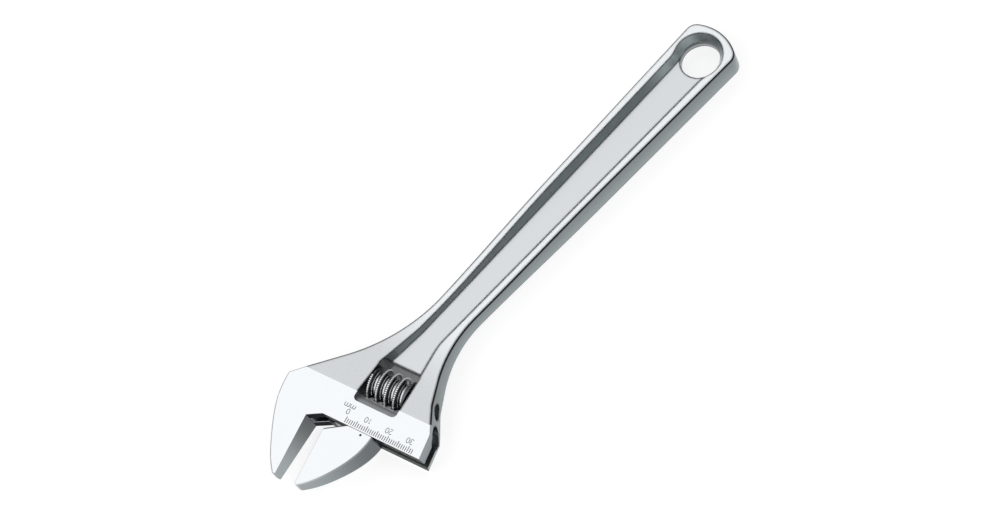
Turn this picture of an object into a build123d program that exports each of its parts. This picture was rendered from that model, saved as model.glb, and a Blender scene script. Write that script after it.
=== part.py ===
"""Adjustable wrench of the 250 mm class, in millimetres.

X runs along the handle from the jaws to the hanging hole, Y points to the side of the fixed
jaw and Z is normal to the marked face. The origin is the centre of the hanging hole, in the
middle plane. The head has a frame of its own, turned by the jaw angle: "along" runs from the
jaw tips to the handle, "across" runs from the sliding jaw to the fixed jaw, and both are zero
where the plane of the fixed jaw's face meets the head's sliding face.
"""
from build123d import *

import os
from math import atan, cos, degrees, pi, radians, sqrt, tan

# head frame
head_x = -210.5
head_y = 15.3
jaw_angle = 15.0

# jaws
jaw_length = 29.8
jaw_tip_half_thickness = 3.6
jaw_taper_start = -1.5
jaw_tip_height = 1.6
rest_opening = 9.65
fixed_jaw_height = 16.6
throat_along = 3.3
throat_across = 6.2
sliding_jaw_height = 20.75
throat_relief = 1.4

edge_radius = 0.8
belly_radius = 1.2

# head
head_half_thickness = 6.75
head_flat_length = 14.2
head_top_along = 9.5
head_top_radius = 1.6
head_width = 54.0
head_end_crown = 1.1
heel_along = 9.0
heel_rise = 1.1
heel_radius = 4.0
heel_slope = 29.0
heel_neck_along = 22.0
heel_neck_radius = 12.0

# neck and handle
neck_upper_angle = 32.0
neck_upper_radius = 79.0
neck_lower_angle = 33.5
neck_lower_share = 0.62
neck_half_thickness = 4.0
neck_waist_along = 62.0
handle_half_thickness = 5.65
handle_full_along = 128.0
handle_half_width = 12.5
handle_taper = 0.0244
handle_end_x = 13.3
handle_end_radius = 20.0
handle_corner_radius = 5.0

# recess on both faces of the handle, and the hanging hole
web_half_thickness = 1.9
recess_draft = 28.0
recess_half_width = 6.7
recess_neck_half_width = 4.5
recess_neck_x = -158.0
recess_neck_radius = 25.0
recess_hole_radius = 14.0
hole_radius = 8.25

# worm, and the window that it turns in
worm_along = 21.3
worm_radius = 7.8
worm_pitch = 4.2
worm_crest_width = 1.0
worm_crest_inset = 0.5
worm_flank_angle = 15.0
window_start = 10.45
window_back_gap = 2.65
window_top = -14.1
window_top_slope = 0.1
window_bottom = -34.7
window_corner_radius = 2.0

# pin and spring of the worm
pin_radius = 2.0
pin_head_radius = 3.05
pin_head_length = 2.4
pin_seat_wall = 5.9
pin_slot_width = 0.8
pin_slot_depth = 1.0
pin_embedded_length = 6.2
spring_wire_radius = 0.35
spring_mean_radius = 2.7
spring_turns = 4.0
spring_pocket_depth = 4.0

# rail and rack of the sliding jaw
rail_radius = 4.5
rail_top_inset = 0.8
rail_length = 37.0
rail_chamfer = 0.6
rail_neck_half_thickness = 2.25
rack_depth = 2.25
index_dot_radius = 0.5
index_dot_depth = 0.25
index_dot_along = -1.4
index_dot_from_face = 15.85

# clearances
rail_clearance = 0.08
rail_end_clearance = 0.6
slot_clearance = 0.15
slide_clearance = 0.15
worm_end_clearance = 0.6
pin_clearance = 0.05
pin_end_clearance = 0.4
rack_flank_clearance = 0.34
rack_tip_clearance = 0.35
spring_clearance = 0.35
spring_end_clearance = 0.05

# values that follow from the sizes above
head_frame = Location((head_x, head_y, 0), (0, 0, jaw_angle))
rail_along = worm_along - worm_radius - rail_radius + rack_depth
worm_root_radius = worm_radius - rack_depth - rack_tip_clearance
window_end = worm_along + worm_radius + window_back_gap
worm_bottom = window_bottom + worm_end_clearance
jaw_taper = (head_half_thickness - jaw_tip_half_thickness) / (jaw_length + jaw_taper_start)
pin_seat = window_bottom - pin_seat_wall
beyond = 60.0


def window_top_at(along):
    """Return the place of the window's sloping upper wall."""
    return window_top - window_top_slope * (along - window_start)


worm_top = window_top_at(worm_along + worm_radius) - worm_end_clearance
pin_end = window_top_at(worm_along) + pin_embedded_length
crest_at_face = worm_top - worm_pitch - worm_crest_inset


def in_head(along, across):
    """Turn a point of the head frame into a point of the wrench."""
    return (head_frame * Pos(along, across)).position


def handle_edge(x, side):
    """Return a point on the handle's side edge, side +1 being that of the fixed jaw."""
    return Vector(x, side * (handle_half_width + handle_taper * x))


def meet_handle_edge(point, angle, side):
    """Return where a line through a point, at an angle to X, meets the handle's side edge."""
    slope = tan(radians(angle))
    x = (side * handle_half_width - point.Y + slope * point.X) / (slope - side * handle_taper)
    return handle_edge(x, side)


def round_corner(face, point, radius):
    """Round the corner of a face that lies nearest to a point."""
    return fillet(face.vertices().sort_by_distance(point)[0], radius)


def closed_face(points):
    """Make a plane face from its corner points."""
    return make_face(Polyline(*points, close=True))


def across_axis(along, across):
    """Place a shape made along Z so that it stands along the head's across direction."""
    return head_frame * Location((along, across, 0), (-90, 0, 0))


def body_outline():
    """Draw the wrench body in plan."""
    tip = in_head(-jaw_length, 0)
    tip_back = in_head(-jaw_length, jaw_tip_height)
    top = in_head(head_top_along, fixed_jaw_height)
    heel_end = in_head(0, -head_width)
    heel = in_head(heel_along, heel_rise - head_width)
    heel_neck_rise = (heel_neck_along - heel_along) * tan(radians(heel_slope))
    heel_neck = in_head(heel_neck_along, heel_rise - head_width + heel_neck_rise)
    upper_neck = meet_handle_edge(top, -neck_upper_angle, 1)
    lower_neck = meet_handle_edge(heel_neck, neck_lower_angle, -1)
    lower_turn = radians(neck_lower_angle) + atan(handle_taper)
    lower_radius = neck_lower_share * (lower_neck - heel_neck).length / tan(lower_turn / 2)
    end_x = handle_end_x - handle_end_radius * (1 - cos(radians(39)))
    upper_end = handle_edge(end_x, 1)
    lower_end = handle_edge(end_x, -1)
    jaw_back = Spline(
        tip_back,
        in_head(-jaw_length + 4, jaw_tip_height + 3.2),
        in_head(-0.6 * jaw_length, fixed_jaw_height - 7.4),
        in_head(-0.27 * jaw_length, fixed_jaw_height - 3.1),
        in_head(0, fixed_jaw_height - 0.8),
        top,
    )
    face = make_face(
        [
            Line(tip, tip_back),
            jaw_back,
            Line(top, upper_neck),
            Line(upper_neck, upper_end),
            ThreePointArc(upper_end, Vector(handle_end_x, 0), lower_end),
            Line(lower_end, lower_neck),
            Line(lower_neck, heel_neck),
            Line(heel_neck, heel),
            Line(heel, heel_end),
            Line(heel_end, in_head(0, -throat_across)),
            Line(in_head(0, -throat_across), in_head(-throat_along, 0)),
            Line(in_head(-throat_along, 0), tip),
        ]
    )
    roundings = [
        (top, head_top_radius),
        (upper_neck, neck_upper_radius),
        (lower_neck, lower_radius),
        (heel_neck, heel_neck_radius),
        (heel, heel_radius),
        (upper_end, handle_corner_radius),
        (lower_end, handle_corner_radius),
    ]
    for point, radius in roundings:
        face = round_corner(face, point, radius)
    return face


def thickness_block():
    """Make the block that bounds the thickness: tapered jaws, flat head, waisted neck, handle."""
    tip_along = -jaw_length - beyond / 6
    tip_half = jaw_tip_half_thickness - jaw_taper * beyond / 6
    last_along = handle_end_x - head_x + beyond
    tip = (tip_along, tip_half)
    ridge = (head_flat_length, head_half_thickness)
    waist = (neck_waist_along, neck_half_thickness)
    full = (handle_full_along, handle_half_thickness)
    half = make_face(
        [
            Polyline(tip, (jaw_taper_start, head_half_thickness), ridge),
            Spline(ridge, waist, full, tangents=[(1, -0.09), (1, 0)]),
            Polyline(full, (last_along, handle_half_thickness), (last_along, 0), (tip_along, 0), tip),
        ]
    )
    profile = Plane.XZ * (half + mirror(half, Plane.XZ))
    return head_frame * extrude(profile, 2 * beyond, both=True)


def end_cut():
    """Make the cut that crowns the head's lower end and rounds its two long edges."""
    half = head_half_thickness
    radius = (half**2 + head_end_crown**2) / (2 * head_end_crown)
    side = half - edge_radius
    edge = sqrt(radius**2 - side**2) - radius
    reach = edge - edge_radius
    over = half + edge_radius / 10
    middle = (edge - edge_radius / 4, half - edge_radius / 3)
    outside = head_end_crown
    section = make_face(
        [
            ThreePointArc((edge, -side), (0, 0), (edge, side)),
            ThreePointArc((edge, side), middle, (reach, over)),
            Polyline(
                (reach, over),
                (reach, 2 * half),
                (outside, 2 * half),
                (outside, -2 * half),
                (reach, -2 * half),
                (reach, -over),
            ),
            ThreePointArc((reach, -over), (middle[0], -middle[1]), (edge, -side)),
        ]
    )
    turn = degrees(atan(heel_rise / heel_along))
    cut = Rot(0, 0, turn - 90) * extrude(Plane.XZ * section, 2 * heel_along, both=True)
    return head_frame * Pos(0, -head_width) * cut


def recess():
    """Make the drafted hollow that sinks the marked face of the handle down to its web."""
    floor = closed_face(
        [
            (0, recess_half_width),
            (recess_neck_x, recess_neck_half_width),
            in_head(window_end - 1, window_top_at(window_end) - 2),
            in_head(window_end - 1, window_bottom + 2),
            (recess_neck_x, -recess_neck_half_width),
            (0, -recess_half_width),
        ]
    )
    for side in (1, -1):
        floor = round_corner(floor, (recess_neck_x, side * recess_neck_half_width), recess_neck_radius)
    floor = floor + Circle(hole_radius)
    mouth_x = -sqrt(hole_radius**2 - recess_half_width**2)
    for side in (1, -1):
        floor = round_corner(floor, (mouth_x, side * recess_half_width), recess_hole_radius)
    return extrude(Pos(0, 0, web_half_thickness) * floor, head_half_thickness, taper=-recess_draft)


def worm_window():
    """Make the opening through the neck in which the worm turns."""
    corners = [
        in_head(window_start, window_top),
        in_head(window_end, window_top_at(window_end)),
        in_head(window_end, window_bottom),
        in_head(window_start, window_bottom),
    ]
    face = closed_face(corners)
    for point in corners:
        face = round_corner(face, point, window_corner_radius)
    return extrude(face, beyond, both=True)


def rail_way():
    """Make the keyhole-shaped way in the head: the bore for the rail and the slot for its neck."""
    end = rail_end_clearance - rail_top_inset
    length = head_width + beyond
    bore = Cylinder(rail_radius + rail_clearance, length, align=(Align.CENTER, Align.CENTER, Align.MAX))
    slot_width = 2 * (rail_neck_half_thickness + slot_clearance)
    slot = Box(
        rail_along + throat_along,
        slot_width,
        length,
        align=(Align.MAX, Align.CENTER, Align.MAX),
    )
    return across_axis(rail_along, end) * (bore + slot)


def pin_bores():
    """Make the stepped hole that takes the pin: head seat, shank and blind end."""
    shank_end = pin_end + pin_end_clearance
    shank = Cylinder(
        pin_radius + pin_clearance,
        shank_end - pin_seat,
        align=(Align.CENTER, Align.CENTER, Align.MIN),
    )
    seat = Cylinder(pin_head_radius + pin_clearance, beyond, align=(Align.CENTER, Align.CENTER, Align.MAX))
    return across_axis(worm_along, pin_seat) * (shank + seat)


def rim_edges(shape, is_rounded):
    """Return the edges around both flat sides of a forging, where is_rounded(along, across) holds."""
    edges = []
    for wall in shape.faces():
        if abs(wall.normal_at(wall.center()).Z) > 0.02:
            continue
        for edge in wall.edges():
            middle = edge.position_at(0.5)
            upright = abs((edge.position_at(1) - edge.position_at(0)).Z) > jaw_tip_half_thickness
            place = (head_frame.inverse() * Pos(middle)).position
            if not upright and abs(middle.Z) > web_half_thickness and is_rounded(place.X, place.Y):
                edges.append(edge)
    return edges


def wrench_body():
    """Make the forging: handle, neck, head and fixed jaw."""
    body = extrude(body_outline(), 2 * head_half_thickness, both=True) & thickness_block()
    rim = rim_edges(body, lambda along, across: along > 0.01 or across > 0.01)
    body = fillet(rim, edge_radius)
    body -= end_cut()
    hollow = recess()
    body -= hollow
    body -= mirror(hollow, Plane.XY)
    body -= Cylinder(hole_radius, beyond)
    body -= worm_window()
    body -= rail_way()
    body -= pin_bores()
    return body


def rack_grooves():
    """Make the ring cuts that shape the rack, each turned by the worm's lead angle."""
    mesh_radius = worm_radius - rack_depth / 2
    lead_angle = degrees(atan(worm_pitch / (2 * pi * mesh_radius)))
    tip_radius = worm_radius + rack_tip_clearance
    tip_half = worm_crest_width / 2 + rack_flank_clearance
    root_half = tip_half + (tip_radius - worm_root_radius) * tan(radians(worm_flank_angle))
    section = closed_face(
        [
            (worm_root_radius, -root_half),
            (tip_radius, -tip_half),
            (tip_radius, tip_half),
            (worm_root_radius, root_half),
        ]
    )
    ring = Rot(-lead_angle, 0, 0) * revolve(Plane.XZ * section, Axis.Z)
    rail_start = -rest_opening - rail_top_inset
    first = crest_at_face - worm_pitch / 4
    count_up = int((rail_start - first) / worm_pitch) + 1
    count_down = int((first - rail_start + rail_length) / worm_pitch) + 1
    steps = range(-count_down, count_up + 1)
    return [across_axis(worm_along, first + step * worm_pitch) * ring for step in steps]


def sliding_jaw():
    """Make the sliding jaw with its neck, its round rail and the rack, at the rest opening."""
    face = -rest_opening
    root = -slide_clearance
    corner_along = throat_along + throat_relief
    corner_across = throat_across + throat_relief
    points = [
        in_head(-jaw_length, face - jaw_tip_height),
        in_head(-jaw_length, face),
        in_head(-corner_along, face),
        in_head(root, face - corner_across),
        in_head(root, face - sliding_jaw_height),
    ]
    belly = Spline(
        points[-1],
        in_head(-0.27 * jaw_length, face - sliding_jaw_height + 2.0),
        in_head(-0.6 * jaw_length, face - sliding_jaw_height + 7.6),
        in_head(-0.84 * jaw_length, face - sliding_jaw_height + 13.5),
        points[0],
    )
    plan = make_face([Polyline(*points), belly])
    jaw = extrude(plan, 2 * head_half_thickness, both=True) & thickness_block()
    belly_top = face - jaw_tip_height
    belly_rim = rim_edges(jaw, lambda along, across: along < root - 0.01 and across < belly_top)
    jaw = fillet(belly_rim, belly_radius)
    rail = Cylinder(rail_radius, rail_length, align=(Align.CENTER, Align.CENTER, Align.MAX))
    rail = chamfer(rail.edges().group_by(Axis.Z)[0], rail_chamfer)
    neck = Box(
        rail_along + 2 * slide_clearance,
        2 * rail_neck_half_thickness,
        sliding_jaw_height - rail_top_inset,
        align=(Align.MAX, Align.CENTER, Align.MAX),
    )
    jaw += across_axis(rail_along, face - rail_top_inset) * (rail + neck)
    for groove in rack_grooves():
        jaw -= groove
    dot = Pos(index_dot_along, face - index_dot_from_face, head_half_thickness)
    jaw -= head_frame * dot * Cylinder(index_dot_radius, 2 * index_dot_depth)
    return jaw


def worm():
    """Make the worm: a bored core with a helical ridge, and a pocket for the spring."""
    length = worm_top - worm_bottom
    core = Cylinder(worm_root_radius, length, align=(Align.CENTER, Align.CENTER, Align.MIN))
    crest_half = worm_crest_width / 2
    inner_radius = worm_root_radius - 0.3
    inner_half = crest_half + (worm_radius - inner_radius) * tan(radians(worm_flank_angle))
    turns_below = int((crest_at_face - worm_bottom) / worm_pitch) + 2
    start = crest_at_face + worm_pitch / 4 - turns_below * worm_pitch - worm_bottom
    path = Helix(worm_pitch, length + 4 * worm_pitch, worm_root_radius, center=(0, 0, start))
    section = closed_face(
        [
            (inner_radius, start - inner_half),
            (worm_radius, start - crest_half),
            (worm_radius, start + crest_half),
            (inner_radius, start + inner_half),
        ]
    )
    ridge = sweep(Plane.XZ * section, path=path, is_frenet=True)
    envelope = Cylinder(worm_radius + 1, length, align=(Align.CENTER, Align.CENTER, Align.MIN))
    screw = core + (ridge & envelope)
    screw -= Cylinder(pin_radius + pin_clearance, beyond)
    pocket_radius = spring_mean_radius + spring_wire_radius + spring_clearance
    screw -= Cylinder(pocket_radius, 2 * spring_pocket_depth)
    return across_axis(worm_along, worm_bottom) * screw


def worm_pin():
    """Make the pin that carries the worm, with its slotted head in the side of the neck."""
    shank = Cylinder(pin_radius, pin_end - pin_seat, align=(Align.CENTER, Align.CENTER, Align.MIN))
    shank = chamfer(shank.edges().group_by(Axis.Z)[-1], pin_radius / 4)
    head = Cylinder(pin_head_radius, pin_head_length, align=(Align.CENTER, Align.CENTER, Align.MAX))
    head = chamfer(head.edges().group_by(Axis.Z)[0], pin_head_radius / 8)
    slot = Pos(0, 0, -pin_head_length) * Box(4 * pin_head_radius, pin_slot_width, 2 * pin_slot_depth)
    return across_axis(worm_along, pin_seat) * (shank + head - slot)


def worm_spring():
    """Make the compression spring between the window's lower wall and the worm's pocket."""
    room = worm_bottom + spring_pocket_depth - window_bottom
    height = room - 2 * (spring_wire_radius + spring_end_clearance)
    start = spring_wire_radius + spring_end_clearance
    path = Helix(height / spring_turns, height, spring_mean_radius, center=(0, 0, start))
    section = Plane(path @ 0, z_dir=path % 0) * Circle(spring_wire_radius)
    wire = sweep(section, path=path, is_frenet=True)
    return across_axis(worm_along, window_bottom) * wire


def main():
    """Build every piece and write one file per piece."""
    os.makedirs("parts", exist_ok=True)
    pieces = {
        "wrench_body": wrench_body(),
        "sliding_jaw": sliding_jaw(),
        "worm": worm(),
        "worm_pin": worm_pin(),
        "worm_spring": worm_spring(),
    }
    for name, shape in pieces.items():
        export_step(shape, f"parts/{name}.step")


if __name__ == "__main__":
    main()
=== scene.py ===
"""Looks of the adjustable wrench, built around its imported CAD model.

X runs along the handle from the jaws to the hanging hole, Y points to the side of the fixed jaw
and Z is normal to the marked face, in metres. The head has a frame of its own, in millimetres:
"along" runs from the jaw tips to the handle, "across" from the sliding jaw to the fixed jaw.
"""

import logging
import math
from collections.abc import Callable, Sequence
from dataclasses import dataclass, replace
from enum import Enum, IntEnum
from functools import cached_property
from typing import Any, NamedTuple

import bmesh
import bpy
import numpy as np
from bpy.types import Material, Mesh, Node, NodeTree, Object
from bpy.types import NodeSocket as Socket
from mathutils import Euler, Matrix, Vector

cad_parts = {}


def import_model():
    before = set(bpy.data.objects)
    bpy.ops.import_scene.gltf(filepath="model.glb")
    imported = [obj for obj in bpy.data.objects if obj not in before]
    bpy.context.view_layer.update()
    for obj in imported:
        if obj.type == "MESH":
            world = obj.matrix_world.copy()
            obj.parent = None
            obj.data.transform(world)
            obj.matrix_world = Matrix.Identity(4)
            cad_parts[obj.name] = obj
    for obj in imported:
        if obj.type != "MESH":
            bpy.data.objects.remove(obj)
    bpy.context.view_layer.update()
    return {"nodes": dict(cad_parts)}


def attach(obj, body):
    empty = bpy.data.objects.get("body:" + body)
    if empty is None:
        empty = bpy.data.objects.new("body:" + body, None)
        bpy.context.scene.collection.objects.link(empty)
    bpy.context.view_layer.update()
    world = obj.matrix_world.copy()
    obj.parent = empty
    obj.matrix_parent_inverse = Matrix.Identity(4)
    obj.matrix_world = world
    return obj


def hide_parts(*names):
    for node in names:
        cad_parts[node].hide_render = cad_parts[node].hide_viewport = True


LOG = logging.getLogger("wrench")
MM = 0.001
HEAD_TURN = 15.0  # degrees
ARC_STEP = 12.0  # degrees
LEAST_ARC_STEPS = 4
WHITE = (1.0, 1.0, 1.0)

Pair = tuple[float, float]
Triple = tuple[float, float, float]


class Body(Enum):
    """The rigid bodies that pieces ride on."""

    WRENCH = "wrench"
    JAW = "jaw"
    WORM = "worm"


class Slot(Enum):
    """The record's material slots."""

    BODY = "body_steel"
    JAW = "jaw_steel"
    WORM = "worm_steel"
    PIN = "pin_steel"
    SPRING = "spring_steel"


class Axis(IntEnum):
    """The axes of the wrench along which painted shade and light change."""

    X = 0
    Z = 2


@dataclass(frozen=True)
class HeadFrame:
    """The head's own frame, turned by the jaw angle, and what its pieces share, in millimetres."""

    x: float = -210.5
    y: float = 15.3
    turn: float = math.radians(HEAD_TURN)
    face: float = 6.75
    rail_along: float = 11.25
    worm_along: float = 21.3

    def matrix(self) -> Matrix:
        """Return the matrix from head coordinates in millimetres to the wrench in metres."""
        spot = Matrix.Translation(Vector((self.x, self.y, 0.0)) * MM)
        return spot @ Matrix.Rotation(self.turn, 4, "Z") @ Matrix.Scale(MM, 4)

    def worm_matrix(self, across: float) -> Matrix:
        """Return the matrix that sets a shape made along its own Z on the worm's axis."""
        spot = Matrix.Translation((self.worm_along, across, 0.0))
        return self.matrix() @ spot @ Matrix.Rotation(math.radians(-90.0), 4, "X")

    def coordinates(self, points: np.ndarray) -> np.ndarray:
        """Turn rows of points of the wrench, in metres, into head coordinates."""
        return self.directions(points / MM - np.array((self.x, self.y, 0.0)))

    def directions(self, vectors: np.ndarray) -> np.ndarray:
        """Turn rows of directions of the wrench into directions of the head frame."""
        cosine, sine = math.cos(self.turn), math.sin(self.turn)
        return vectors @ np.array(((cosine, -sine, 0.0), (sine, cosine, 0.0), (0.0, 0.0, 1.0)))


HEAD = HeadFrame()


def add_object(name: str, data: bpy.types.ID) -> Object:
    """Put a new object in the scene.

    Args:
        name: The object's name.
        data: Its mesh or camera.

    Returns:
        The object.
    """
    thing = bpy.data.objects.new(name, data)
    bpy.context.scene.collection.objects.link(thing)
    return thing


def finished_mesh(name: str, shape: bmesh.types.BMesh) -> Mesh:
    """Turn a shape under construction into a mesh.

    Args:
        name: The mesh's name.
        shape: The shape, which is freed.

    Returns:
        The mesh.
    """
    mesh = bpy.data.meshes.new(name)
    shape.to_mesh(mesh)
    shape.free()
    return mesh


class Sketch:
    """A node tree that is drawn one node at a time."""

    def __init__(self, tree: NodeTree) -> None:
        """Start on an empty tree."""
        self.tree = tree
        self.tree.nodes.clear()

    def add(self, kind: str, inputs: dict[Any, Any] | None = None, **settings: Any) -> Node:
        """Add a node.

        Args:
            kind: Blender's name of the node type.
            inputs: Values or output sockets for the node's inputs, by name or number.
            settings: Values for the node's own properties.

        Returns:
            The new node.
        """
        node = self.tree.nodes.new(kind)
        for name, value in settings.items():
            setattr(node, name, value)
        for key, value in (inputs or {}).items():
            if isinstance(value, Socket):
                self.tree.links.new(value, node.inputs[key])
            else:
                node.inputs[key].default_value = value
        return node

    def result(self, kind: str, inputs: dict[Any, Any] | None = None, **settings: Any) -> Socket:
        """Add a node and return its first output."""
        return self.add(kind, inputs, **settings).outputs[0]

    def math(self, operation: str, *values: Any) -> Socket:
        """Return the result of a math node on values or sockets."""
        return self.result("ShaderNodeMath", dict(enumerate(values)), operation=operation)

    def ease(self, value: Socket, span: Pair, levels: Pair, way: str = "SMOOTHSTEP") -> Socket:
        """Blend between two levels.

        Args:
            value: The value that drives the blend.
            span: Where the blend starts and ends.
            levels: The level before and after it.
            way: Blender's name of the way between them.

        Returns:
            The blended level.
        """
        ends = {0: value, 1: span[0], 2: span[1], 3: levels[0], 4: levels[1]}
        return self.result("ShaderNodeMapRange", ends, interpolation_type=way)

    def ramp(self, value: Socket, stops: Sequence[tuple[float, Triple]]) -> Socket:
        """Blend between a row of colours.

        Args:
            value: The value that drives the blend.
            stops: The colours, each with the value at which it is reached.

        Returns:
            The blended colour.
        """
        node = self.add("ShaderNodeValToRGB", {0: value})
        elements = node.color_ramp.elements
        while len(elements) < len(stops):
            elements.new(1.0)
        while len(elements) > len(stops):
            elements.remove(elements[-1])
        for element, (place, color) in zip(elements, stops):
            element.position = place
            element.color = (*color, 1.0)
        return node.outputs[0]


class GeometrySketch(Sketch):
    """A Geometry Nodes tree with named inputs, whose result becomes a plain mesh."""

    def __init__(self, name: str, inputs: dict[str, float]) -> None:
        """Make the tree and its inputs.

        Args:
            name: The tree's name.
            inputs: Named lengths and factors, and counts as whole numbers.
        """
        super().__init__(bpy.data.node_groups.new(name, "GeometryNodeTree"))
        face = self.tree.interface
        face.new_socket("Geometry", in_out="INPUT", socket_type="NodeSocketGeometry")
        face.new_socket("Geometry", in_out="OUTPUT", socket_type="NodeSocketGeometry")
        self.values: dict[str, float] = {}
        for label, value in inputs.items():
            kind = "NodeSocketInt" if isinstance(value, int) else "NodeSocketFloat"
            socket = face.new_socket(label, in_out="INPUT", socket_type=kind)
            self.values[socket.identifier] = value
        self.entry = self.add("NodeGroupInput").outputs

    def vector(self, x: Any = 0.0, y: Any = 0.0, z: Any = 0.0) -> Socket:
        """Return a vector made of three values or sockets."""
        return self.result("ShaderNodeCombineXYZ", {0: x, 1: y, 2: z})

    def mesh(self, shape: Socket, place: Matrix, source: Mesh | None = None) -> Mesh:
        """Close the tree, run it once and keep its result as a plain mesh.

        Args:
            shape: The geometry to realize.
            place: The matrix from the tree's millimetres to the wrench.
            source: The mesh that the tree starts from, if it reads one.

        Returns:
            The finished mesh, with no material.
        """
        self.add("NodeGroupOutput", {0: self.result("GeometryNodeRealizeInstances", {0: shape})})
        name = self.tree.name
        carrier = add_object(name, source or bpy.data.meshes.new(f"{name}_base"))
        modifier = carrier.modifiers.new(name, "NODES")
        modifier.node_group = self.tree
        for identifier, value in self.values.items():
            modifier[identifier] = value
        evaluated = carrier.evaluated_get(bpy.context.evaluated_depsgraph_get())
        result = bpy.data.meshes.new_from_object(evaluated)
        carrier.modifiers.remove(modifier)
        bpy.data.objects.remove(carrier)
        result.materials.clear()
        result.transform(place)
        return result


class MaterialSketch(Sketch):
    """The node tree of a new material."""

    def __init__(self, name: str) -> None:
        """Make the material.

        Args:
            name: The material's name.
        """
        self.material = bpy.data.materials.new(name)
        self.material.use_nodes = True
        super().__init__(self.material.node_tree)
        self.spot = self.add("ShaderNodeTexCoord").outputs["Object"]

    def noise(self, spot: Socket, scale: float, detail: float, roughness: float = 0.5) -> Socket:
        """Return a noise at a place, with its scale, its number of octaves and their weight."""
        inputs = {"Vector": spot, "Scale": scale, "Detail": detail, "Roughness": roughness}
        return self.result("ShaderNodeTexNoise", inputs)

    def mottle(self, value: Socket, band: Pair, tint: Triple, spread: float) -> Socket:
        """Vary a tint about its middle.

        Args:
            value: The value that drives the change.
            band: The values at which the darkest and the lightest shade are reached.
            tint: The middle shade.
            spread: How far the shades go to either side, as a share of the tint.

        Returns:
            The varied colour.
        """
        dark = tuple(part * (1.0 - spread) for part in tint)
        light = tuple(min(1.0, part * (1.0 + spread)) for part in tint)
        return self.ramp(value, ((band[0], dark), (band[1], light)))

    def close(self, surface: Socket) -> Material:
        """Show a surface and return the finished material."""
        self.add("ShaderNodeOutputMaterial", {0: surface})
        return self.material


class ShadeStep(NamedTuple):
    """A soft step of painted shading along an axis, in millimetres, with the tone's factor past its end:
    below one it paints shade, above one light.
    """

    axis: Axis
    start: float
    end: float
    factor: float


class SlopeShade(NamedTuple):
    """A painted reflection at one slope: how level the surface lies, its tint and its added roughness."""

    level: float
    tint: Triple
    dull: float = 0.0


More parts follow.
